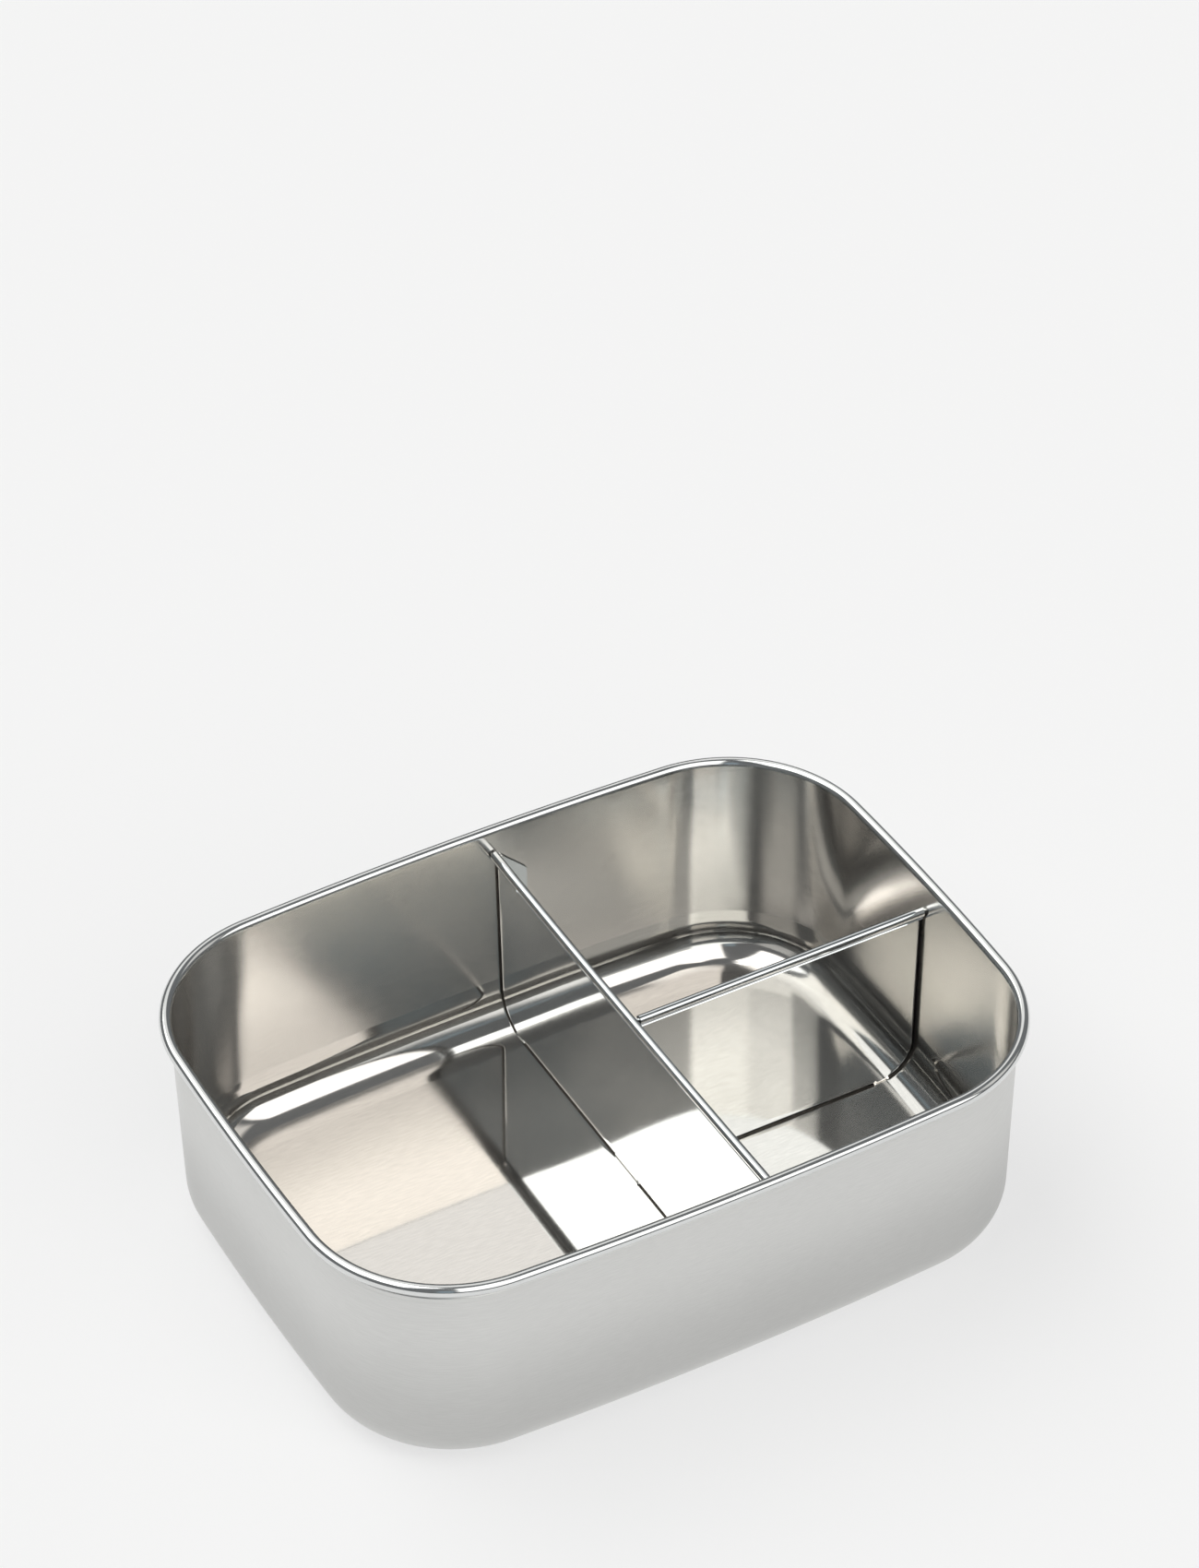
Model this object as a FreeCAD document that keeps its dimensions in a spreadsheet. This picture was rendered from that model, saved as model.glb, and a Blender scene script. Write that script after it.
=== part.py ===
import FreeCAD, Part
import math
import os
import Sketcher
from FreeCAD import Vector

# A stainless steel lunch box: a deep-drawn tray with a curled rim, and a
# T-shaped pair of hemmed sheet dividers spot-welded inside it.
# +X runs along the length, +Y across to the back, +Z up.
# The origin is the middle of the underside.

DIMENSIONS = (
    ("rim_length", 205.0),       # over the curled rim, along X
    ("rim_width", 156.0),        # over the curled rim, along Y
    ("box_height", 66.5),        # underside to the top of the curl
    ("rim_corner", 41.0),        # plan radius of a corner, over the curl
    ("long_side_radius", 1180.0),   # the long sides bow out a little
    ("short_side_radius", 980.0),   # and so do the short ones
    ("tray_gauge", 0.6),
    ("curl_diameter", 3.3),
    ("curl_sweep", 300.0),       # degrees that the sheet is rolled through
    ("wall_draft", 1.4),         # degrees
    ("floor_radius", 11.6),      # outside radius between wall and floor
    ("blade_gauge", 0.6),
    ("blade_x", 11.6),           # left face of the long divider
    ("blade_y", 0.0),            # front face of the cross divider
    ("long_top", 59.4),          # top of the long divider's hem
    ("cross_top", 58.4),
    ("hem_diameter", 2.5),       # over the roll of a hem
    ("hem_round", 1.12),         # radius of the roll's shoulders
    ("hem_depth", 3.6),          # from the top of the hem to the flap's edge
    ("hem_end_gap", 0.6),        # end of a hem to the wall beside it
    ("flange_width", 9.0),
    ("edge_gap", 0.35),          # cut edge of a divider to the wall beside it
    ("tab_gap", 0.25),           # tab to the bowed wall that it is welded to
    ("tab_width", 8.5),
    ("floor_gap", 0.03),         # a flange to the flat sheet under it
    ("crossing_gap", 2.0),       # the long floor flange stops beside the cross divider
    ("tab_chamfer", 7.0),        # a tab's upper corner is cut off by this much
    ("tab_drop", 2.0),           # top of the hem to the top of a tab
    ("relief", 7.0),             # opening between a floor flange and the fillet
    ("corner_clear", 12.0),      # radius of a divider's lower corners
)

TOLERANCE = 0.02         # mm, for finding an edge by its place
ALIGNED = 0.99           # cosine above which an edge runs along a direction

doc = FreeCAD.newDocument("lunch_box")
sheet = doc.addObject("Spreadsheet::Sheet", "dims")
for row, (alias, value) in enumerate(DIMENSIONS, start=1):
    sheet.set("A%d" % row, alias)
    sheet.set("B%d" % row, str(value))
    sheet.setAlias("B%d" % row, alias)
doc.recompute()


def dim(alias):
    """A driving dimension as a number."""
    return float(sheet.get(alias))


def bowed_arcs(inset):
    """The eight arcs (centre, radius, start, end) of the rim's outline, drawn inwards.

    Four arcs of large radius bow the sides out and four round the corners,
    and each touches the next.
    """
    half_x = dim("rim_length") / 2 - inset
    half_y = dim("rim_width") / 2 - inset
    corner = dim("rim_corner") - inset
    long_r = dim("long_side_radius") - inset
    short_r = dim("short_side_radius") - inset
    long_c = Vector(0, half_y - long_r, 0)
    short_c = Vector(half_x - short_r, 0, 0)
    # The corner's centre is where it touches both side arcs from inside.
    span = (short_c - long_c).Length
    along = ((long_r - corner) ** 2 - (short_r - corner) ** 2 + span ** 2) / (2 * span)
    across = math.sqrt((long_r - corner) ** 2 - along ** 2)
    unit = (short_c - long_c).normalize()
    centre = long_c + unit * along + Vector(unit.y, -unit.x, 0) * across
    short_turn = math.atan2(centre.y - short_c.y, centre.x - short_c.x)
    long_turn = math.atan2(centre.y - long_c.y, centre.x - long_c.x)
    arcs = []
    for quarter in range(4):
        flip_x = -1 if quarter in (1, 2) else 1
        flip_y = -1 if quarter in (2, 3) else 1
        start, end = (
            (short_turn, long_turn),
            (math.pi - long_turn, math.pi - short_turn),
            (math.pi + short_turn, math.pi + long_turn),
            (-long_turn, -short_turn),
        )[quarter]
        middle = Vector(centre.x * flip_x, centre.y * flip_y, 0)
        arcs.append((middle, corner, start, end))
    for middle, radius, start, end in (
        (short_c, short_r, -short_turn, short_turn),
        (long_c, long_r, long_turn, math.pi - long_turn),
        (-short_c, short_r, math.pi - short_turn, math.pi + short_turn),
        (-long_c, long_r, math.pi + long_turn, 2 * math.pi - long_turn),
    ):
        arcs.append((middle, radius, start, end))
    return arcs


def outline_face(inset, height):
    """The flat face inside the outline, at a height."""
    edges = []
    for centre, radius, start, end in bowed_arcs(inset):
        circle = Part.Circle(centre + Vector(0, 0, height), Vector(0, 0, 1), radius)
        edges.append(Part.ArcOfCircle(circle, start, end).toShape())
    return Part.Face(Part.Wire(Part.__sortEdges__(edges)))


def turned(centre, radius, degrees):
    """The point of an upright circle in the XZ plane at an angle."""
    turn = math.radians(degrees)
    return centre + Vector(radius * math.cos(turn), 0, radius * math.sin(turn))


def upright_arc(centre, radius, start, end):
    """An arc in the XZ plane; angles in degrees."""
    places = [turned(centre, radius, angle) for angle in (start, (start + end) / 2, end)]
    return Part.Arc(*places).toShape()


def line(start, end):
    return Part.LineSegment(start, end).toShape()


def sheet_section():
    """The drawn sheet's section in XZ, with x = 0 at the outside of the rim.

    It runs from the curl's edge, over the curl, down the leaning wall and
    round the floor radius to the flat floor.
    """
    gauge = dim("tray_gauge")
    curl_r = dim("curl_diameter") / 2
    wall_top = dim("box_height") - curl_r
    lean = math.radians(dim("wall_draft"))
    floor_r = dim("floor_radius")
    curl_c = Vector(-curl_r, 0, wall_top)
    tail = 180 - dim("curl_sweep")
    # The wall's outer line starts beside the curl and leans in by the draft.
    wall_x = gauge - dim("curl_diameter")
    centre_z = floor_r
    # Centre of the floor radius: floor_r inside the wall's outer line.
    centre_x = wall_x - (wall_top - centre_z) * math.tan(lean) - floor_r / math.cos(lean)
    floor_c = Vector(centre_x, 0, centre_z)
    side = -math.degrees(lean)

    inner_curl = curl_r - gauge
    inner_floor = floor_r - gauge
    wall_in = Vector(-2 * curl_r, 0, wall_top)
    wall_out = Vector(wall_x, 0, wall_top)
    edges = [
        upright_arc(curl_c, curl_r, 180, tail),
        line(turned(curl_c, curl_r, tail), turned(curl_c, inner_curl, tail)),
        upright_arc(curl_c, inner_curl, tail, 180),
        line(wall_out, turned(floor_c, floor_r, side)),
        upright_arc(floor_c, floor_r, side, -90),
        line(turned(floor_c, floor_r, -90), turned(floor_c, inner_floor, -90)),
        upright_arc(floor_c, inner_floor, -90, side),
        line(turned(floor_c, inner_floor, side), wall_in),
    ]
    return Part.Face(Part.Wire(Part.__sortEdges__(edges))), -floor_c.x


def build_tray():
    section, floor_inset = sheet_section()
    pieces = []
    for centre, radius, start, end in bowed_arcs(0):
        face = section.copy()
        face.translate(Vector(radius, 0, 0))
        face.rotate(Vector(), Vector(0, 0, 1), math.degrees(start))
        face.translate(centre)
        pieces.append(face.revolve(centre, Vector(0, 0, 1), math.degrees(end - start)))
    floor = outline_face(floor_inset, 0).extrude(Vector(0, 0, dim("tray_gauge")))
    tray = doc.addObject("Part::Feature", "tray")
    tray.Label = "tray"
    tray.Shape = floor.multiFuse(pieces).removeSplitter().Solids[0]
    return tray


# Expressions for where a divider meets the tray.
FLOOR = "dims.tray_gauge + dims.floor_gap"
WALL_TOP = "(dims.box_height - dims.curl_diameter / 2)"
LEAN = "tan(dims.wall_draft * 1 deg)"


def wall_at(half, height):
    """Expression for the wall's inner face, along an axis, at a height."""
    return "(dims.%s / 2 - dims.curl_diameter - (%s - (%s)) * %s)" % (half, WALL_TOP, height, LEAN)


def new_body(label):
    body = doc.addObject("PartDesign::Body", label)
    body.Label = label
    return body


def new_sketch(body, name, role, lift=None):
    """A sketch on one of the body's origin planes, moved along its normal."""
    sketch = body.newObject("Sketcher::SketchObject", name)
    plane = next(f for f in body.Origin.OriginFeatures if f.Role == role)
    sketch.AttachmentSupport = (plane, [""])
    sketch.MapMode = "FlatFace"
    if lift:
        sketch.setExpression("AttachmentOffset.Base.z", lift)
    return sketch


def value_of(expression):
    return float(sheet.evalExpression(expression))


def polygon(sketch, corners):
    """A closed polygon whose corners are pairs of expressions."""
    first = sketch.GeometryCount
    points = [Vector(value_of(across), value_of(up), 0) for across, up in corners]
    count = len(points)
    for i in range(count):
        sketch.addGeometry(Part.LineSegment(points[i], points[(i + 1) % count]), False)
    for i in range(count):
        this_one = first + i
        next_one = first + (i + 1) % count
        sketch.addConstraint(Sketcher.Constraint("Coincident", this_one, 2, next_one, 1))
    for i, (across, up) in enumerate(corners):
        for kind, expression, value in (
            ("DistanceX", across, points[i].x),
            ("DistanceY", up, points[i].y),
        ):
            constraint = Sketcher.Constraint(kind, -1, 1, first + i, 1, value)
            index = sketch.addConstraint(constraint)
            sketch.setExpression("Constraints[%d]" % index, expression)


def rectangle(sketch, left, right, low, high):
    polygon(sketch, ((left, low), (right, low), (right, high), (left, high)))


def pad(body, sketch, length, name, both_ways=False, backwards=False):
    doc.recompute()
    feature = body.newObject("PartDesign::Pad", name)
    feature.Profile = sketch
    feature.setExpression("Length", length)
    feature.Midplane = both_ways
    feature.Reversed = backwards
    doc.recompute()
    return feature


def edges_where(feature, wanted):
    """Names of the feature's edges that pass a test."""
    found = []
    for number, edge in enumerate(feature.Shape.Edges, start=1):
        if wanted(edge):
            found.append("Edge%d" % number)
    return found


def dress(body, kind, base, name, size_property, expression, wanted):
    """A fillet or chamfer on the edges that pass a test."""
    feature = body.newObject("PartDesign::" + kind, name)
    feature.Base = (base, edges_where(base, wanted))
    feature.setExpression(size_property, expression)
    doc.recompute()


def runs_along(edge, direction):
    ends = edge.Vertexes
    if len(ends) != 2:
        return False
    chord = ends[1].Point - ends[0].Point
    return chord.Length > TOLERANCE and abs(chord.normalize().dot(direction)) > ALIGNED


def middle(edge):
    return (edge.Vertexes[0].Point + edge.Vertexes[-1].Point) / 2


def near(value, target):
    return abs(value - target) < TOLERANCE


def build_long_divider():
    body = new_body("long_divider")
    along_y = Vector(0, 1, 0)
    along_x = Vector(1, 0, 0)
    top = "dims.long_top"
    left = dim("blade_x")
    foot_end = "%s - dims.edge_gap" % wall_at("rim_width", FLOOR)
    top_end = "%s - dims.edge_gap" % wall_at("rim_width", top)

    blade_sketch = new_sketch(body, "long_blade_outline", "YZ_Plane", "dims.blade_x")
    under_roll = top + " - dims.blade_gauge"
    polygon(blade_sketch, (
        ("-(%s)" % foot_end, FLOOR), (foot_end, FLOOR),
        (top_end, under_roll), ("-(%s)" % top_end, under_roll),
    ))
    blade = pad(body, blade_sketch, "dims.blade_gauge", "long_blade")
    low = value_of(FLOOR)
    dress(body, "Fillet", blade, "long_lower_corners", "Radius", "dims.corner_clear",
          lambda e: runs_along(e, along_x) and near(middle(e).z, low))

    flap_left = "dims.blade_x + dims.blade_gauge - dims.hem_diameter"
    flap_right = flap_left + " + dims.blade_gauge"
    blade_right = "dims.blade_x + dims.blade_gauge"
    flap_foot = top + " - dims.hem_depth"
    hem_sketch = new_sketch(body, "long_hem_section", "XZ_Plane")
    polygon(hem_sketch, (
        (flap_left, flap_foot), (flap_right, flap_foot), (flap_right, under_roll),
        (blade_right, under_roll), (blade_right, top), (flap_left, top),
    ))
    hem_length = "2 * (%s - dims.hem_end_gap)" % wall_at("rim_width", flap_foot)
    hem = pad(body, hem_sketch, hem_length, "long_hem", both_ways=True)
    high = dim("long_top")
    dress(body, "Fillet", hem, "long_hem_roll", "Radius", "dims.hem_round",
          lambda e: runs_along(e, along_y) and near(middle(e).z, high))

    # The floor flange stops short of the fillets and of the cross divider.
    run_end = "(%s - dims.corner_clear - dims.relief)" % foot_end
    flange_top = FLOOR + " + dims.blade_gauge"
    flange_sketch = new_sketch(body, "long_flange_outline", "XY_Plane", FLOOR)
    flange_right = "dims.blade_x + dims.flange_width"
    rectangle(flange_sketch, "dims.blade_x", flange_right,
              "-" + run_end, "dims.blade_y - dims.crossing_gap")
    rectangle(flange_sketch, "dims.blade_x", flange_right,
              "dims.blade_y + dims.flange_width + dims.crossing_gap", run_end)
    pad(body, flange_sketch, "dims.blade_gauge", "long_floor_flange")

    tab_low = FLOOR + " + dims.corner_clear"
    tab_high = top + " - dims.tab_drop"
    inner = "(dims.tab_gap + dims.blade_gauge)"
    tab_sketch = new_sketch(body, "long_tab_section", "YZ_Plane", "dims.blade_x")
    for sign in ("", "-"):
        corners = []
        for height, inset in (
            (tab_low, "dims.tab_gap"), (tab_high, "dims.tab_gap"),
            (tab_high, inner), (tab_low, inner),
        ):
            corners.append(("%s(%s - %s)" % (sign, wall_at("rim_width", height), inset), height))
        polygon(tab_sketch, corners)
    tabs = pad(body, tab_sketch, "dims.tab_width", "long_end_tabs")
    tab_right = left + dim("tab_width")
    tab_top = high - dim("tab_drop")
    dress(body, "Chamfer", tabs, "long_tab_corners", "Size", "dims.tab_chamfer",
          lambda e: runs_along(e, along_y) and near(middle(e).z, tab_top)
          and near(middle(e).x, tab_right))
    return body


def build_cross_divider():
    body = new_body("cross_divider")
    along_x = Vector(1, 0, 0)
    along_y = Vector(0, 1, 0)
    top = "dims.cross_top"
    low = value_of(FLOOR)
    high = dim("cross_top")
    front = dim("blade_y")
    near_end = "(dims.blade_x + dims.blade_gauge + dims.edge_gap)"
    foot_end = "(%s - dims.edge_gap)" % wall_at("rim_length", FLOOR)
    top_end = "(%s - dims.edge_gap)" % wall_at("rim_length", top)
    behind = "-dims.blade_y"

    blade_sketch = new_sketch(body, "cross_blade_outline", "XZ_Plane", behind)
    under_roll = top + " - dims.blade_gauge"
    polygon(blade_sketch, (
        (near_end, FLOOR), (foot_end, FLOOR), (top_end, under_roll), (near_end, under_roll),
    ))
    blade = pad(body, blade_sketch, "dims.blade_gauge", "cross_blade", backwards=True)
    far_x = value_of(foot_end)
    dress(body, "Fillet", blade, "cross_lower_corner", "Radius", "dims.corner_clear",
          lambda e: runs_along(e, along_y) and near(middle(e).z, low)
          and near(middle(e).x, far_x))

    flap_front = "(dims.blade_y + dims.blade_gauge - dims.hem_diameter)"
    flap_back = flap_front + " + dims.blade_gauge"
    blade_back = "dims.blade_y + dims.blade_gauge"
    flap_foot = top + " - dims.hem_depth"
    hem_end = "(%s - dims.hem_end_gap)" % wall_at("rim_length", flap_foot)
    hem_sketch = new_sketch(body, "cross_hem_section", "YZ_Plane", near_end)
    polygon(hem_sketch, (
        (flap_front, flap_foot), (flap_back, flap_foot), (flap_back, under_roll),
        (blade_back, under_roll), (blade_back, top), (flap_front, top),
    ))
    hem = pad(body, hem_sketch, "%s - %s" % (hem_end, near_end), "cross_hem")
    dress(body, "Fillet", hem, "cross_hem_roll", "Radius", "dims.hem_round",
          lambda e: runs_along(e, along_x) and near(middle(e).z, high))

    flange_sketch = new_sketch(body, "cross_flange_outline", "XY_Plane", FLOOR)
    rectangle(flange_sketch,
              near_end + " + dims.relief", foot_end + " - dims.corner_clear - dims.relief",
              "dims.blade_y", "dims.blade_y + dims.flange_width")
    pad(body, flange_sketch, "dims.blade_gauge", "cross_floor_flange")

    tab_low = FLOOR + " + dims.corner_clear"
    tab_high = top + " - dims.tab_drop"
    wall_low = wall_at("rim_length", tab_low)
    wall_high = wall_at("rim_length", tab_high)
    tab_sketch = new_sketch(body, "cross_tab_section", "XZ_Plane", behind)
    inner = "(dims.tab_gap + dims.blade_gauge)"
    polygon(tab_sketch, (
        (wall_low + " - " + inner, tab_low), (wall_low + " - dims.tab_gap", tab_low),
        (wall_high + " - dims.tab_gap", tab_high), (wall_high + " - " + inner, tab_high),
    ))
    weld_face = "(dims.blade_x + dims.blade_gauge + dims.floor_gap)"
    rectangle(tab_sketch, weld_face, weld_face + " + dims.blade_gauge", tab_low, tab_high)
    tabs = pad(body, tab_sketch, "dims.tab_width", "cross_end_tabs", backwards=True)
    tab_back = front + dim("tab_width")
    tab_top = high - dim("tab_drop")
    dress(body, "Chamfer", tabs, "cross_tab_corners", "Size", "dims.tab_chamfer",
          lambda e: runs_along(e, along_x) and near(middle(e).z, tab_top)
          and near(middle(e).y, tab_back))
    return body


nodes = [build_tray(), build_long_divider(), build_cross_divider()]
doc.recompute()
for item in doc.Objects:
    if "Invalid" in item.State or "Error" in item.State:
        raise RuntimeError("%s failed: %s" % (item.Name, item.State))
for node in nodes:
    if node.Shape.isNull() or not node.Shape.isValid():
        raise RuntimeError("%s has no valid shape" % node.Label)
    if len(node.Shape.Solids) != 1:
        raise RuntimeError("%s is not one solid" % node.Label)

os.makedirs("parts", exist_ok=True)
for node in nodes:
    node.Shape.exportStep("parts/%s.step" % node.Label)
    box = node.Shape.optimalBoundingBox()
    print("%s: %.0f mm3, x %.2f..%.2f, y %.2f..%.2f, z %.2f..%.2f" % (
        node.Label, node.Shape.Volume, box.XMin, box.XMax, box.YMin, box.YMax, box.ZMin, box.ZMax))
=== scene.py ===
"""Looks for the steel lunch box: a drawn tray with a rolled rim and two hemmed sheet dividers.

Lengths are in millimetres until a mesh is made, then in metres.
"""

import math

import bmesh
import bpy
from mathutils import Matrix, Vector


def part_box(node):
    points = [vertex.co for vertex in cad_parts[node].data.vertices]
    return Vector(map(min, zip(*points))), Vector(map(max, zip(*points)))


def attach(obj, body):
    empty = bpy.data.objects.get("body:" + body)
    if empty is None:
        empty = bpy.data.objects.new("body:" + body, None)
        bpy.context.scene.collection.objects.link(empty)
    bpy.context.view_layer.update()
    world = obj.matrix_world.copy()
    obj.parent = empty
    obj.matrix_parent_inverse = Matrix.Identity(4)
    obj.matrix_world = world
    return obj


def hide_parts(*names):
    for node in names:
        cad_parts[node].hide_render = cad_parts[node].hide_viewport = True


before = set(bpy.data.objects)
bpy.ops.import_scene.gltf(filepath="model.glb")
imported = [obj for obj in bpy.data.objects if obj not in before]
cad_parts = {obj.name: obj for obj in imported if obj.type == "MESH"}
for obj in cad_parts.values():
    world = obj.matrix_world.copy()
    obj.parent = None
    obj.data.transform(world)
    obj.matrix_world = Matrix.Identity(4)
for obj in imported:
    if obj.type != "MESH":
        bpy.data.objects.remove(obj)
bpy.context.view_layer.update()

MM = 0.001

# Tray, the same driving sizes as the CAD part.
RIM_HALF_X = 102.5
RIM_HALF_Y = 78.0
RIM_CORNER = 41.0
LONG_SIDE_RADIUS = 1180.0
SHORT_SIDE_RADIUS = 980.0
BOX_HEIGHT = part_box("tray")[1].z / MM
GAUGE = 0.6
CURL_RADIUS = 1.65
CURL_SWEEP = math.radians(300)
LEAN = math.radians(1.4)
FLOOR_RADIUS = 11.6
WALL_TOP = BOX_HEIGHT - CURL_RADIUS
# Fine grooves pressed round the outside under the rim: (below the curl's middle, half width, depth).
NECKS = ((3.65, 0.5, 0.28), (5.4, 0.3, 0.05))
NECK_FROM = WALL_TOP - 7.0   # from here up the outside has finer rings

# Divider places and sizes, also the CAD part's.
BLADE_X = 11.6
BLADE_Y = 0.0
LONG_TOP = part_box("long_divider")[1].z / MM
CROSS_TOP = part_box("cross_divider")[1].z / MM
FLANGE_WIDTH = 9.0
TAB_WIDTH = 8.5
TAB_CHAMFER = 7.0
TAB_DROP = 2.0            # top of the hem to the top of a tab
EDGE_GAP = 0.35           # a cut edge to the surface beside it
HEM_END_GAP = 0.6         # a hem's end to the surface beside it
TAB_GAP = 0.25            # a tab to the wall that it is welded to
FLOOR_GAP = 0.03
CROSSING_GAP = 2.0        # the long floor flange stops beside the cross divider

# A fold is a chain of bends: (straight run before it, radius, turn), along the middle of the sheet.
FOLD_RADIUS = 0.7
FOLD_LENGTH = FOLD_RADIUS * math.pi / 2
SQUARE_FOLD = ((0.0, FOLD_RADIUS, math.pi / 2),)
HEM_RADIUS = 0.95
HEM_BENDS = ((0.0, HEM_RADIUS, math.radians(215)), (1.3, 0.4, math.radians(-85)))
HEM_REACH = 5.8           # sheet length past the hem's fold line
HEM_PINCH = (3.9, 5.15)   # the part of it that is pinched against the blade, painted dark as painted shade in the crease
HEM_BOW = 0.5             # the long hem bends this far left in its middle
CREASE_SHADE_PART = (0.2, 1.2)    # the part of a square fold painted dark as painted shade in its crease, in fold lengths

# The fold line round a lower corner, which keeps the folded sheet FLOOR_GAP off the tray's bend.
CORNER_RADIUS = FLOOR_RADIUS - FLOOR_GAP - 1.5 * GAUGE - FOLD_RADIUS
CORNER_LIP = 2.2          # flat width of the folded lip round a lower corner
LIP_START = math.radians(-72)
FOOT_TURNS = [-math.pi / 2 + 0.06 * i for i in range(5)]   # cut foot from the flange to the lip
FLANGE_STOP = 1.0         # a floor flange ends this far before the corner's round
NOTCH = 0.6
FOOT_RAISE = 0.4          # the cut foot between folds stands clear of the floor
DEBURR = 0.1

# Fineness of the meshes.
STATION_SPACING = 1.6
WALL_STEPS = 16
NECK_STEPS = 90
BEND_STEPS = 20           # the tray's bend, outside
FILLET_STEPS = 28         # and inside
UNDER_CURL_STEPS = 30
OVER_CURL_STEPS = 48
CUT_SPACING = 1.5
BEND_CUTS = 6
HEM_CUTS = 28
LIP_STEPS = 20
FLAT_PART = 0.977         # the floor's flat middle, as a part of its outline
CLOSE = 1e-4              # points nearer than this are one point
SHARP_ANGLE = math.radians(40)


# ---------------------------------------------------------------- tray shape

def bowed_arcs():
    """The rim outline as eight tangent arcs in order: (centre x, centre y, radius, start, end)."""
    long_y = RIM_HALF_Y - LONG_SIDE_RADIUS
    short_x = RIM_HALF_X - SHORT_SIDE_RADIUS
    from_long = LONG_SIDE_RADIUS - RIM_CORNER
    from_short = SHORT_SIDE_RADIUS - RIM_CORNER
    span = math.hypot(short_x, long_y)
    along = (from_long ** 2 - from_short ** 2 + span ** 2) / (2 * span)
    across = math.sqrt(from_long ** 2 - along ** 2)
    unit_x, unit_y = short_x / span, -long_y / span
    corner_x = unit_x * along + unit_y * across
    corner_y = long_y + unit_y * along - unit_x * across
    low = math.atan2(corner_y, corner_x - short_x)
    high = math.atan2(corner_y - long_y, corner_x)
    turn = math.pi
    return (
        (short_x, 0, SHORT_SIDE_RADIUS, -low, low),
        (corner_x, corner_y, RIM_CORNER, low, high),
        (0, long_y, LONG_SIDE_RADIUS, high, turn - high),
        (-corner_x, corner_y, RIM_CORNER, turn - high, turn - low),
        (-short_x, 0, SHORT_SIDE_RADIUS, turn - low, turn + low),
        (-corner_x, -corner_y, RIM_CORNER, turn + low, turn + high),
        (0, -long_y, LONG_SIDE_RADIUS, turn + high, 2 * turn - high),
        (corner_x, -corner_y, RIM_CORNER, 2 * turn - high, 2 * turn - low),
    )


def outline_stations():
    """Points round the rim: (centre x, centre y, radius, cos, sin)."""
    stations = []
    for centre_x, centre_y, radius, start, end in bowed_arcs():
        count = math.ceil(radius * (end - start) / STATION_SPACING)
        for angle in even_steps(start, end, count):
            stations.append((centre_x, centre_y, radius, math.cos(angle), math.sin(angle)))
    return stations


def even_steps(start, end, steps):
    """Even steps from start, without the end."""
    return [start + (end - start) * step / steps for step in range(steps)]


def arc_points(centre_x, centre_z, radius, start, end, steps):
    return [(centre_x + radius * math.cos(angle), centre_z + radius * math.sin(angle))
            for angle in even_steps(start, end, steps) + [end]]


def smooth_step(value):
    value = min(max(value, 0.0), 1.0)
    return value * value * (3 - 2 * value)


def neck_depth(z):
    """How deep the grooves under the rim are at a height."""
    depth = 0.0
    for drop, half_width, deep in NECKS:
        across = (z - (WALL_TOP - drop)) / half_width
        if abs(across) < 1:
            depth += deep * (1 - across ** 2) ** 2
    return depth


def tray_section():
    """The sheet's section (x outwards from the rim's outside, z) with the zone of each stretch."""
    wall_x = GAUGE - 2 * CURL_RADIUS
    corner_x = wall_x - (WALL_TOP - FLOOR_RADIUS) * math.tan(LEAN) - FLOOR_RADIUS / math.cos(LEAN)
    inner_radius = FLOOR_RADIUS - GAUGE
    tail = math.pi - CURL_SWEEP
    outside = arc_points(corner_x, FLOOR_RADIUS, FLOOR_RADIUS, -math.pi / 2, -LEAN, BEND_STEPS)
    foot_x, foot_z = outside[-1]
    slope = (wall_x - foot_x) / (WALL_TOP - foot_z)
    heights = even_steps(foot_z, NECK_FROM, WALL_STEPS) + even_steps(NECK_FROM, WALL_TOP, NECK_STEPS)
    outside += [(foot_x + slope * (z - foot_z) - neck_depth(z), z) for z in heights[1:]]
    under_curl = arc_points(-CURL_RADIUS, WALL_TOP, CURL_RADIUS - GAUGE, math.pi, tail,
                            UNDER_CURL_STEPS)
    over_curl = arc_points(-CURL_RADIUS, WALL_TOP, CURL_RADIUS, tail, math.pi, OVER_CURL_STEPS)
    fillet = arc_points(corner_x, FLOOR_RADIUS, inner_radius, -LEAN, -math.pi / 2, FILLET_STEPS)
    top_x, top_z = over_curl[-1]
    foot_x, foot_z = fillet[0]
    slope = (top_x - foot_x) / (top_z - foot_z)
    inside = [(foot_x + slope * (z - foot_z), z) for z in even_steps(top_z, foot_z, WALL_STEPS)[1:]]
    section = []
    for zone, points in (("outside", outside), ("rim", under_curl + over_curl),
                         ("inside", inside), ("fillet", fillet)):
        section += [(x, z, zone) for x, z in points]
    return section


def build_tray():
    """Rings round the section, closed by the floor's two faces."""
    stations = outline_stations()
    zones = ["outside", "rim", "inside", "fillet", "floor"]
    bm = bmesh.new()
    rings = []
    for x, z, zone in tray_section():
        ring = [bm.verts.new((cx + (radius + x) * cos_a, cy + (radius + x) * sin_a, z))
                for cx, cy, radius, cos_a, sin_a in stations]
        rings.append((ring, zone))

    def bridge(outer, inner, zone):
        for i in range(len(outer)):
            face = bm.faces.new((outer[i - 1], outer[i], inner[i], inner[i - 1]))
            face.material_index = zones.index(zone)

    for (first, _), (second, zone) in zip(rings, rings[1:]):
        bridge(first, second, zone)
    for edge, zone in ((rings[0][0], "outside"), (rings[-1][0], "floor")):
        # A narrow ring keeps the bend's shading out of the flat middle.
        inner = [bm.verts.new((vert.co.x * FLAT_PART, vert.co.y * FLAT_PART, vert.co.z))
                 for vert in edge]
        bridge(edge, inner, zone)
        bm.faces.new(inner).material_index = zones.index(zone)
    bmesh.ops.recalc_face_normals(bm, faces=bm.faces)
    return make_object("lunch_tray", bm, zones)


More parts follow.
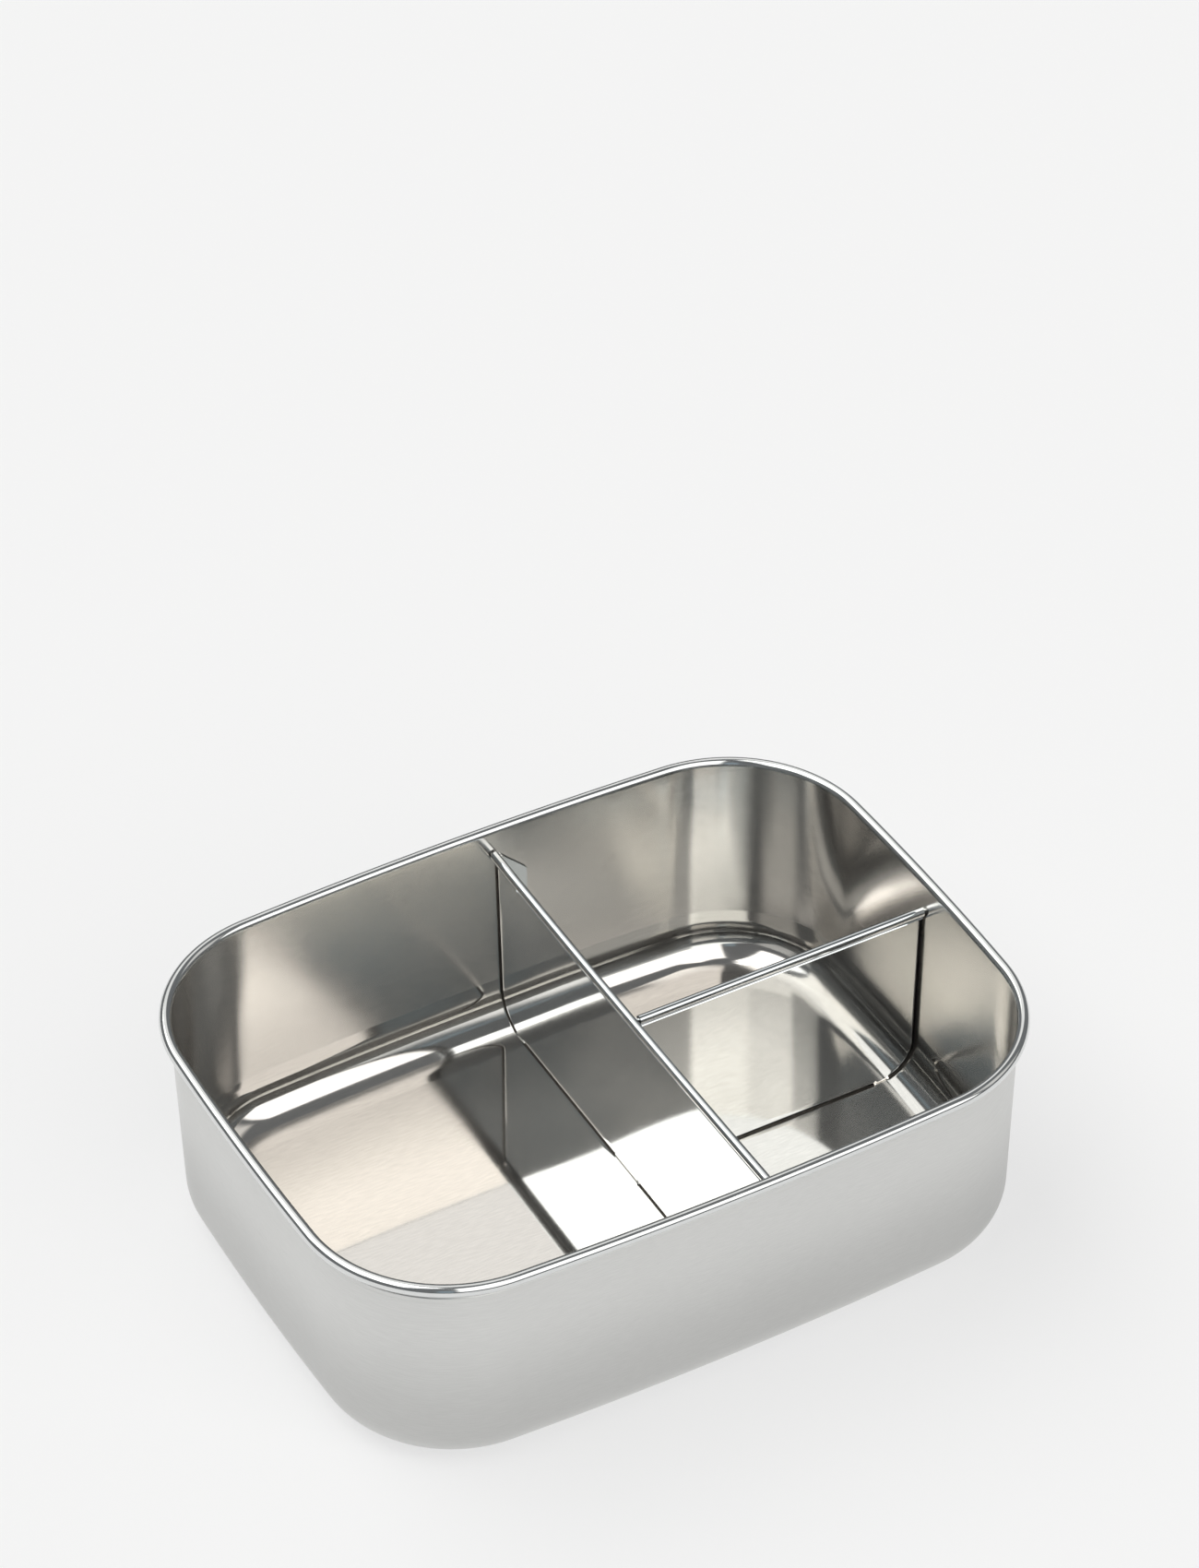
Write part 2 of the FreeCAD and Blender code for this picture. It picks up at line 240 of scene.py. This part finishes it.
def make_object(name, bm, zones):
    bmesh.ops.scale(bm, vec=(MM, MM, MM), verts=bm.verts)
    mesh = bpy.data.meshes.new(name)
    bm.to_mesh(mesh)
    bm.free()
    for zone in zones:
        mesh.materials.append(MATERIALS[zone])
    mesh.shade_smooth()
    mesh.set_sharp_from_angle(angle=SHARP_ANGLE)
    obj = bpy.data.objects.new(name, mesh)
    bpy.context.collection.objects.link(obj)
    return obj


# ------------------------------------------------------------ divider shapes

def wall_inside(half, height):
    """The tray wall's inner face, along an axis, at a height."""
    return half - 2 * CURL_RADIUS - (WALL_TOP - height) * math.tan(LEAN)


def fold(distance, bends):
    """Where a sheet point past a fold line goes: (onwards, sideways, angle)."""
    onwards = sideways = angle = 0.0
    for straight, radius, turn in bends:
        run = min(distance, straight)
        onwards += run * math.cos(angle)
        sideways += run * math.sin(angle)
        distance -= run
        sign = math.copysign(1.0, turn)
        arc = min(distance, radius * abs(turn))
        turned = angle + sign * arc / radius
        onwards += sign * radius * (math.sin(turned) - math.sin(angle))
        sideways += sign * radius * (math.cos(angle) - math.cos(turned))
        angle = turned
        distance -= arc
    return onwards + distance * math.cos(angle), sideways + distance * math.sin(angle), angle


def bend_cuts():
    """Distances past a fold line where a square fold's bend is cut."""
    return [FOLD_LENGTH * i / BEND_CUTS for i in range(BEND_CUTS + 1)]


class End:
    """One end of a divider: the surface that it is welded to, as u at a height."""

    def __init__(self, surface, sign, rounded):
        self.surface = surface
        self.sign = sign
        self.rounded = rounded

    def free(self, v):
        """u of the cut edge."""
        return self.surface(v) - self.sign * EDGE_GAP

    def fold_line(self, v):
        return self.surface(v) - self.sign * (TAB_GAP + GAUGE / 2 + FOLD_RADIUS)


class Divider:
    """A flat blank (u along, v up) that is folded: floor flanges, end tabs and a hem on top."""

    def __init__(self, top, near_surface, far_surface, round_near, crossing=None):
        self.top = top
        self.foot = GAUGE + FLOOR_GAP
        self.foot_fold = self.foot + GAUGE / 2 + FOLD_RADIUS
        self.hem_fold = top - HEM_RADIUS - GAUGE / 2
        self.tab_low = self.foot_fold + CORNER_RADIUS
        self.tab_high = top - TAB_DROP
        self.near = End(near_surface, -1, round_near)
        self.far = End(far_surface, 1, True)
        start, stop = (self.flange_end(end) for end in (self.near, self.far))
        if crossing:
            self.spans = ((start, crossing[0]), (crossing[1], stop))
        else:
            self.spans = ((start, stop),)

    def corner(self, end):
        """Centre of the round at an end's lower corner."""
        return end.fold_line(self.tab_low) - end.sign * CORNER_RADIUS, self.tab_low

    def flange_end(self, end):
        if end.rounded:
            return self.corner(end)[0] - end.sign * FLANGE_STOP
        return end.fold_line(self.foot) - end.sign * 2 * FLANGE_STOP

    def lip_rings(self):
        """Distances past the fold line where the corner's lip has rings."""
        return bend_cuts() + [FOLD_LENGTH + CORNER_LIP / 2, FOLD_LENGTH + CORNER_LIP]

    def lip_angles(self):
        return even_steps(LIP_START, 0.0, LIP_STEPS) + [0.0]

    def on_corner(self, end, distance, angle):
        centre_u, centre_v = self.corner(end)
        reach = CORNER_RADIUS + distance
        return (centre_u + end.sign * reach * math.cos(angle),
                centre_v + reach * math.sin(angle))

    def end_outline(self, end):
        """Blank points of one end, upwards from the foot."""
        low, high, sign = self.tab_low, self.tab_high, end.sign
        low_fold, high_fold = end.fold_line(low), end.fold_line(high)
        reach = FOLD_LENGTH + TAB_WIDTH - FOLD_RADIUS - GAUGE / 2
        hem_end = end.surface(self.hem_fold) - sign * HEM_END_GAP
        if end.rounded:
            raised = FOLD_RADIUS + GAUGE / 2 - FOOT_RAISE
            points = [self.on_corner(end, raised, turn) for turn in FOOT_TURNS]
            points += [self.on_corner(end, 0, angle) for angle in self.lip_angles()]
            points += [self.on_corner(end, ring, 0) for ring in self.lip_rings()[1:]]
        else:
            points = [(end.free(self.foot), self.foot + FOOT_RAISE),
                      (end.free(low), low - NOTCH), (low_fold, low - NOTCH), (low_fold, low)]
        return points + [
            (low_fold + sign * reach, low),
            (high_fold + sign * reach, high - TAB_CHAMFER),
            (high_fold + sign * (reach - TAB_CHAMFER), high),
            (high_fold, high),
            (high_fold, self.hem_fold),
            (hem_end, self.hem_fold),
            (hem_end, self.hem_fold + HEM_REACH),
        ]

    def outline(self):
        """Blank points all round, from the foot's flanges."""
        foot = []
        low = self.foot_fold - FOLD_LENGTH - FLANGE_WIDTH + FOLD_RADIUS + GAUGE / 2
        raised = self.foot + FOOT_RAISE
        for start, end in self.spans:
            foot += [
                (start - NOTCH, raised), (start - NOTCH, self.foot_fold),
                (start, self.foot_fold), (start, low), (end, low), (end, self.foot_fold),
                (end + NOTCH, self.foot_fold), (end + NOTCH, raised),
            ]
        return foot + self.end_outline(self.far) + self.end_outline(self.near)[::-1]

    def past_fold(self, u, v):
        """For a point past a fold line: (point on the line, direction, distance, bends, side)."""
        if v > self.hem_fold:
            return (u, self.hem_fold), (0, 1), v - self.hem_fold, HEM_BENDS, -1
        on_flange = any(start - CLOSE <= u <= end + CLOSE for start, end in self.spans)
        if v < self.foot_fold and on_flange:
            return (u, self.foot_fold), (0, -1), self.foot_fold - v, SQUARE_FOLD, 1
        for end in (self.near, self.far):
            line = end.fold_line(v)
            past = end.sign * (u - line)
            if self.tab_low - CLOSE <= v <= self.tab_high + CLOSE and past > 0:
                return (line, v), (end.sign, 0), past, SQUARE_FOLD, 1
            centre_u, centre_v = self.corner(end)
            across = end.sign * (u - centre_u)
            if end.rounded and v < centre_v and across > 0:
                past = math.hypot(across, v - centre_v) - CORNER_RADIUS
                angle = math.atan2(v - centre_v, across)
                if past > 0 and angle > LIP_START - CLOSE:
                    direction = (end.sign * math.cos(angle), math.sin(angle))
                    return self.on_corner(end, 0, angle), direction, past, SQUARE_FOLD, 1
        return None

    def in_crease_shade(self, u, v):
        """Whether a blank point is in a bend that is painted dark, as painted shade in the crease.
        """
        past = self.past_fold(u, v)
        if past is None:
            return False
        if v > self.hem_fold:
            return HEM_PINCH[0] < past[2] < HEM_PINCH[1]
        return CREASE_SHADE_PART[0] < past[2] / FOLD_LENGTH < CREASE_SHADE_PART[1]

    def place(self, u, v, offset):
        """The folded place (u, v, sideways) of a blank point at an offset to the front."""
        past = self.past_fold(u, v)
        if past is None:
            return u, v, -offset
        (line_u, line_v), (du, dv), distance, bends, side = past
        onwards, sideways, angle = fold(distance, bends)
        onwards += side * offset * math.sin(angle)
        return (line_u + du * onwards, line_v + dv * onwards,
                side * sideways - offset * math.cos(angle))

    def cut_lines(self):
        """Where the blank is cut so that it can bend: (values of u, values of v)."""
        low = self.foot_fold - FLANGE_WIDTH
        count = int((self.hem_fold - low) / CUT_SPACING)
        vs = [low + CUT_SPACING * i for i in range(count)] + [self.tab_low, self.tab_high]
        vs += even_steps(self.hem_fold, self.hem_fold + HEM_REACH, HEM_CUTS)
        vs += [self.foot_fold - distance for distance in bend_cuts()]
        left, right = self.near.surface(self.top) - TAB_WIDTH, self.far.surface(self.top) + TAB_WIDTH
        us = [left + CUT_SPACING * i for i in range(1, int((right - left) / CUT_SPACING))]
        for span in self.spans:
            us += span
        return us, vs

    def blank(self):
        """The flat sheet, cut along lines so that it can be folded."""
        bm = bmesh.new()
        bm.faces.new([bm.verts.new((u, v, 0)) for u, v in self.outline()])
        for end in (self.near, self.far):
            if not end.rounded:
                continue
            rows = [[bm.verts.new((*self.on_corner(end, ring, angle), 0))
                     for angle in self.lip_angles()] for ring in self.lip_rings()]
            for inner, outer in zip(rows, rows[1:]):
                for i in range(len(inner) - 1):
                    bm.faces.new((inner[i], outer[i], outer[i + 1], inner[i + 1]))
        bmesh.ops.remove_doubles(bm, verts=bm.verts, dist=CLOSE)

        def cut(point, normal):
            geometry = bm.verts[:] + bm.edges[:] + bm.faces[:]
            bmesh.ops.bisect_plane(bm, geom=geometry, dist=CLOSE, plane_co=point, plane_no=normal)

        for end in (self.near, self.far):
            for ring in bend_cuts():
                low = Vector((end.fold_line(self.tab_low) + end.sign * ring, self.tab_low, 0))
                high = Vector((end.fold_line(self.top) + end.sign * ring, self.top, 0))
                line = high - low
                cut(low, (line.y, -line.x, 0))
        us, vs = self.cut_lines()
        for u in us:
            cut((u, 0, 0), (1, 0, 0))
        for v in vs:
            cut((0, v, 0), (0, 1, 0))
        bm.verts.index_update()
        return bm

    def mesh(self, to_frame):
        """The folded sheet with its thickness."""
        blank = self.blank()
        solid = bmesh.new()
        sides = []
        for offset in (GAUGE / 2, -GAUGE / 2):
            sides.append([solid.verts.new(to_frame(*self.place(v.co.x, v.co.y, offset)))
                          for v in blank.verts])
        for face in blank.faces:
            middle = face.calc_center_median()
            for verts in sides:
                skin = solid.faces.new([verts[v.index] for v in face.verts])
                # Faces in a fold's crease take the painted shade material.
                skin.material_index = 1 if self.in_crease_shade(middle.x, middle.y) else 0
        for edge in blank.edges:
            if edge.is_boundary:
                a, b = (v.index for v in edge.verts)
                solid.faces.new((sides[0][a], sides[0][b], sides[1][b], sides[1][a]))
        blank.free()
        bmesh.ops.recalc_face_normals(solid, faces=solid.faces)
        return solid


def build_long_divider():
    def back(v):
        return wall_inside(RIM_HALF_Y, v)

    def front(v):
        return -back(v)

    crossing = (BLADE_Y - CROSSING_GAP, BLADE_Y + FLANGE_WIDTH + CROSSING_GAP)
    divider = Divider(LONG_TOP, front, back, True, crossing)

    def to_frame(u, v, side):
        bow = HEM_BOW * (1 - (u / back(LONG_TOP)) ** 2) * smooth_step(v / LONG_TOP)
        return BLADE_X + GAUGE / 2 + side - bow, u, v

    return build_divider("divider_long", divider, to_frame)


def build_cross_divider():
    def wall(v):
        return wall_inside(RIM_HALF_X, v)

    def long_blade(v):
        return BLADE_X + GAUGE + FLOOR_GAP

    divider = Divider(CROSS_TOP, long_blade, wall, False)

    def to_frame(u, v, side):
        return u, BLADE_Y + GAUGE / 2 + side, v

    return build_divider("divider_cross", divider, to_frame)


def build_divider(name, divider, to_frame):
    """The divider's object, with its cut edges deburred."""
    # The second material is the painted shade in the creases of the folds.
    piece = make_object(name, divider.mesh(to_frame), ["blade", "crease_shade"])
    bevel = piece.modifiers.new("deburred", "BEVEL")
    bevel.width = DEBURR * MM
    bevel.segments = 2
    bevel.limit_method = "ANGLE"
    bevel.angle_limit = math.radians(60)
    return piece


# ---------------------------------------------------------------- materials

class Nodes:
    """Short calls for building a node tree."""

    def __init__(self, tree):
        self.tree = tree

    def add(self, kind, **settings):
        node = self.tree.nodes.new(kind)
        for key, value in settings.items():
            setattr(node, key, value)
        return node

    def link(self, output, socket):
        self.tree.links.new(output, socket)

    def math(self, operation, *values):
        node = self.add("ShaderNodeMath", operation=operation)
        for socket, value in zip(node.inputs, values):
            if isinstance(value, (int, float)):
                socket.default_value = value
            else:
                self.link(value, socket)
        return node.outputs[0]

    def split(self, vector):
        """The three parts of a vector."""
        node = self.add("ShaderNodeSeparateXYZ")
        self.link(vector, node.inputs[0])
        return node.outputs

    def ramp(self, value, low, high, to_low=0.0, to_high=1.0):
        """A smooth change from to_low to to_high as value goes from low to high."""
        node = self.add("ShaderNodeMapRange", interpolation_type="SMOOTHSTEP")
        self.link(value, node.inputs["Value"])
        for name, number in (("From Min", low), ("From Max", high),
                             ("To Min", to_low), ("To Max", to_high)):
            node.inputs[name].default_value = number
        return node.outputs["Result"]

    def noise(self, vector, scale, detail, stretch=(1, 1, 1)):
        """Noise whose grain is longer along the axes with a small stretch value."""
        mapping = self.add("ShaderNodeMapping")
        self.link(vector, mapping.inputs["Vector"])
        mapping.inputs["Scale"].default_value = stretch
        node = self.add("ShaderNodeTexNoise")
        self.link(mapping.outputs["Vector"], node.inputs["Vector"])
        node.inputs["Scale"].default_value = scale
        node.inputs["Detail"].default_value = detail
        return node.outputs["Fac"]

    def mix_colour(self, factor, first, second):
        node = self.add("ShaderNodeMix", data_type="RGBA")
        self.link(factor, node.inputs["Factor"])
        node.inputs["A"].default_value = (*first, 1)
        node.inputs["B"].default_value = (*second, 1)
        return node.outputs["Result"]

    def bump(self, height, depth):
        node = self.add("ShaderNodeBump")
        node.inputs["Strength"].default_value = 1.0
        node.inputs["Distance"].default_value = depth
        self.link(height, node.inputs["Height"])
        return node


WARM = (0.80, 0.77, 0.73)
OUTER = (0.735, 0.735, 0.72)
NEUTRAL = (0.765, 0.775, 0.77)
BLUISH = (0.735, 0.765, 0.775)
# Painted shade: this near black colour of the fold creases stands in for their shadow.
CREASE_SHADE = (0.1, 0.095, 0.09)
GRAIN_DARKENS = 0.93
METALLIC = 0.95

# The grain's stretch: a larger number makes the lines finer across that axis.
ROUND_GRAIN = (1.0, 22.0, 1.0)
FLOOR_GRAIN = (1.0, 9.0, 1.0)
BLADE_GRAIN = (1.0, 1.0, 14.0)
TURN_SCALE = 0.09         # metres of grain for each radian round the box
THROUGH_SCALE = 0.1       # metres of grain for each metre outwards
# Scales are per metre.
GRAIN_DETAIL = 4.0
PATCH_SCALE, PATCH_DETAIL = 38.0, 3.0
WAVE_SCALE, WAVE_DETAIL = 22.0, 1.0
NOISE_RANGE = (0.3, 0.7)  # nearly all of a noise's values lie between these
QUARTER_TURN = 0.25       # of the stretched highlights, as a part of a whole turn

# Heights in metres between which the painted shade at the foot of a wall goes darker and then
# lighter.
SHADE_RISE = (0.002, 0.012)
SHADE_FALL = (0.014, 0.05)


def around_the_walls(n, place):
    """Coordinates that run round the box, up it and through it, for a grain along the walls."""
    x, y, z = n.split(place)
    through = n.math("ADD", n.math("ABSOLUTE", x), n.math("ABSOLUTE", y))
    join = n.add("ShaderNodeCombineXYZ")
    n.link(n.math("MULTIPLY", n.math("ARCTAN2", y, x), TURN_SCALE), join.inputs[0])
    n.link(z, join.inputs[1])
    n.link(n.math("MULTIPLY", through, THROUGH_SCALE), join.inputs[2])
    return join.outputs[0]


def steel(name, colour, roughness, spread, grain_depth, wave_depth, anisotropy=0.0, grain=260.0,
          flat_grain=None, painted_foot_shade=1.0):
    """Drawn stainless steel: a directional grain, slow waves in the sheet and patchy polish.

    The grain runs round the walls, or straight on a flat sheet that gives flat_grain as its stretch.
    The foot shade factor is painted shade: it darkens the base colour in a band round the foot of
    the walls, fading out by 50 mm up.
    """
    material = bpy.data.materials.new(name)
    material.use_nodes = True
    n = Nodes(material.node_tree)
    shader = material.node_tree.nodes["Principled BSDF"]
    place = n.add("ShaderNodeTexCoord").outputs["Object"]
    if flat_grain:
        lines = n.noise(place, grain, GRAIN_DETAIL, flat_grain)
    else:
        lines = n.noise(around_the_walls(n, place), grain, GRAIN_DETAIL, ROUND_GRAIN)
    patches = n.noise(place, PATCH_SCALE, PATCH_DETAIL)
    waves = n.noise(place, WAVE_SCALE, WAVE_DETAIL)

    shader.inputs["Metallic"].default_value = METALLIC
    darker = tuple(value * GRAIN_DARKENS for value in colour)
    # Painted shade: the base colour is scaled down in a band round the foot of the walls.
    height = n.split(place)[2]
    rise = n.ramp(height, *SHADE_RISE, 0.0, 1 - painted_foot_shade)
    fall = n.ramp(height, *SHADE_FALL, 1.0, 0.0)
    shade = n.add("ShaderNodeVectorMath", operation="SCALE")
    n.link(n.mix_colour(n.ramp(lines, *NOISE_RANGE), darker, colour), shade.inputs[0])
    n.link(n.math("SUBTRACT", 1.0, n.math("MULTIPLY", rise, fall)), shade.inputs["Scale"])
    n.link(shade.outputs[0], shader.inputs["Base Color"])

    blend = n.math("ADD", n.math("MULTIPLY", lines, 0.5), n.math("MULTIPLY", patches, 0.5))
    n.link(n.ramp(blend, *NOISE_RANGE, roughness - spread, roughness + spread),
           shader.inputs["Roughness"])
    if anisotropy:
        shader.inputs["Anisotropic"].default_value = anisotropy
        shader.inputs["Anisotropic Rotation"].default_value = QUARTER_TURN
        tangent = n.add("ShaderNodeTangent", direction_type="RADIAL", axis="Z")
        n.link(tangent.outputs[0], shader.inputs["Tangent"])

    slow = n.bump(waves, wave_depth)
    fine = n.bump(lines, grain_depth)
    n.link(slow.outputs["Normal"], fine.inputs["Normal"])
    n.link(fine.outputs["Normal"], shader.inputs["Normal"])
    return material


MATERIALS = {
    # The outside, inside and fillet have painted shade at the foot of their walls.
    "outside": steel("steel_outside", OUTER, 0.4, 0.03, 5e-7, 1e-5, anisotropy=0.6, grain=300.0,
                     painted_foot_shade=0.82),
    "rim": steel("steel_rim", NEUTRAL, 0.1, 0.03, 3e-7, 0.0),
    "inside": steel("steel_inside", WARM, 0.17, 0.04, 3e-7, 1e-5, anisotropy=0.85,
                    painted_foot_shade=0.7),
    "fillet": steel("steel_fillet", WARM, 0.08, 0.02, 1e-7, 5e-6, painted_foot_shade=0.7),
    "floor": steel("steel_floor", WARM, 0.05, 0.01, 1e-8, 4e-6, flat_grain=FLOOR_GRAIN),
    "blade": steel("steel_blade", BLUISH, 0.05, 0.02, 1e-7, 1e-5, grain=300.0,
                   flat_grain=BLADE_GRAIN),
    # Painted shade in the creases of the folds and the hem's pinch.
    "crease_shade": steel("steel_crease_shade", CREASE_SHADE, 0.3, 0.05, 1e-7, 0.0, grain=300.0,
                  flat_grain=BLADE_GRAIN),
}


# ------------------------------------------------------ floor, light, camera

TABLE_HALF = 3.0          # metres
TABLE_COLOUR = (0.32, 0.32, 0.322, 1)
TABLE_GLOW = 0.6
# Soft panels round the box: azimuth from +X, half width, low edge, high edge and edge softness, all
# in degrees, and then the light that the panel adds.
PANELS = (
    (133, 45, 41, 86, 6, (2.4, 2.4, 2.35)),         # key, high at the back left
    (193, 15, 46, 86, 6, (2.4, 2.4, 2.35)),         # its far end, cut off higher
    (112, 25, 33, 41, 6, (2.3, 2.3, 2.2)),          # its lower end behind the box
    (281, 34, 18, 78, 4, (1.56, 1.54, 1.5)),        # fill in front
    (68, 22, 32, 68, 12, (0.85, 0.84, 0.82)),       # small fill at the back right
    (340, 16, 20, 50, 10, (0.6, 0.58, 0.55)),       # small fill at the right
    (239, 5, 8, 44, 4, (0.1, 0.15, 0.18)),          # cool card at the front left
)
SKY = (0.14, 0.147, 0.153)


def build_stage():
    bm = bmesh.new()
    bmesh.ops.create_grid(bm, x_segments=1, y_segments=1, size=TABLE_HALF)
    mesh = bpy.data.meshes.new("table")
    bm.to_mesh(mesh)
    bm.free()
    table = bpy.data.objects.new("table", mesh)
    bpy.context.collection.objects.link(table)
    material = bpy.data.materials.new("table_white")
    material.use_nodes = True
    shader = material.node_tree.nodes["Principled BSDF"]
    shader.inputs["Base Color"].default_value = TABLE_COLOUR
    shader.inputs["Roughness"].default_value = 1.0
    shader.inputs["Specular IOR Level"].default_value = 0.0
    shader.inputs["Emission Color"].default_value = (1, 1, 1, 1)
    shader.inputs["Emission Strength"].default_value = TABLE_GLOW
    mesh.materials.append(material)


def build_light():
    """A dim grey studio with soft bright panels."""
    world = bpy.data.worlds.new("studio")
    bpy.context.scene.world = world
    world.use_nodes = True
    n = Nodes(world.node_tree)
    x, y, z = n.split(n.add("ShaderNodeTexCoord").outputs["Generated"])
    azimuth = n.math("DEGREES", n.math("ARCTAN2", y, x))
    elevation = n.math("DEGREES", n.math("ARCSINE", z))
    total = None
    for centre, half, low, high, soft, light in PANELS:
        off = n.math("ABSOLUTE", n.math("WRAP", n.math("SUBTRACT", azimuth, centre), 180, -180))
        across = n.ramp(off, half - soft / 2, half + soft / 2, 1.0, 0.0)
        above = n.ramp(elevation, low - soft / 2, low + soft / 2)
        below = n.ramp(elevation, high - soft / 2, high + soft / 2, 1.0, 0.0)
        shape = n.math("MULTIPLY", n.math("MULTIPLY", across, above), below)
        panel = n.add("ShaderNodeVectorMath", operation="MULTIPLY_ADD")
        n.link(shape, panel.inputs[0])
        panel.inputs[1].default_value = light
        if total is None:
            panel.inputs[2].default_value = SKY
        else:
            n.link(total, panel.inputs[2])
        total = panel.outputs[0]
    n.link(total, world.node_tree.nodes["Background"].inputs["Color"])
    bpy.context.scene.view_settings.view_transform = "Standard"


# Millimetres and angles, from the frame's origin.
CAMERA_YAW = math.radians(28.76)
CAMERA_PITCH = math.radians(39.85)
CAMERA_ROLL = math.radians(-0.63)
CAMERA_DISTANCE = 1487.6
CAMERA_RIGHT = 0.9
CAMERA_UP = 108.3
SENSOR_WIDTH = 36.0
FOCAL_LENGTH = 169.837
CLIP_START = 0.01         # metres


def build_camera():
    """Looks down on the box from the front left, with room above it."""
    forward = Vector((math.sin(CAMERA_YAW) * math.cos(CAMERA_PITCH),
                      math.cos(CAMERA_YAW) * math.cos(CAMERA_PITCH),
                      -math.sin(CAMERA_PITCH)))
    level = Vector((math.cos(CAMERA_YAW), -math.sin(CAMERA_YAW), 0))
    upright = level.cross(forward)
    right = math.cos(CAMERA_ROLL) * level + math.sin(CAMERA_ROLL) * upright
    up = -math.sin(CAMERA_ROLL) * level + math.cos(CAMERA_ROLL) * upright
    place = -forward * CAMERA_DISTANCE + right * CAMERA_RIGHT + up * CAMERA_UP
    data = bpy.data.cameras.new("camera")
    data.sensor_fit = "HORIZONTAL"
    data.sensor_width = SENSOR_WIDTH
    data.lens = FOCAL_LENGTH
    data.clip_start = CLIP_START
    camera = bpy.data.objects.new("camera", data)
    turn = Matrix((right, up, -forward)).transposed().to_4x4()
    camera.matrix_world = Matrix.Translation(place * MM) @ turn
    bpy.context.collection.objects.link(camera)
    bpy.context.scene.camera = camera


for piece, node, finish in ((build_tray(), "tray", "tray_steel"),
                            (build_long_divider(), "long_divider", "divider_steel"),
                            (build_cross_divider(), "cross_divider", "divider_steel")):
    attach(piece, "root")
    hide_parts(node)
build_stage()
build_light()
build_camera()
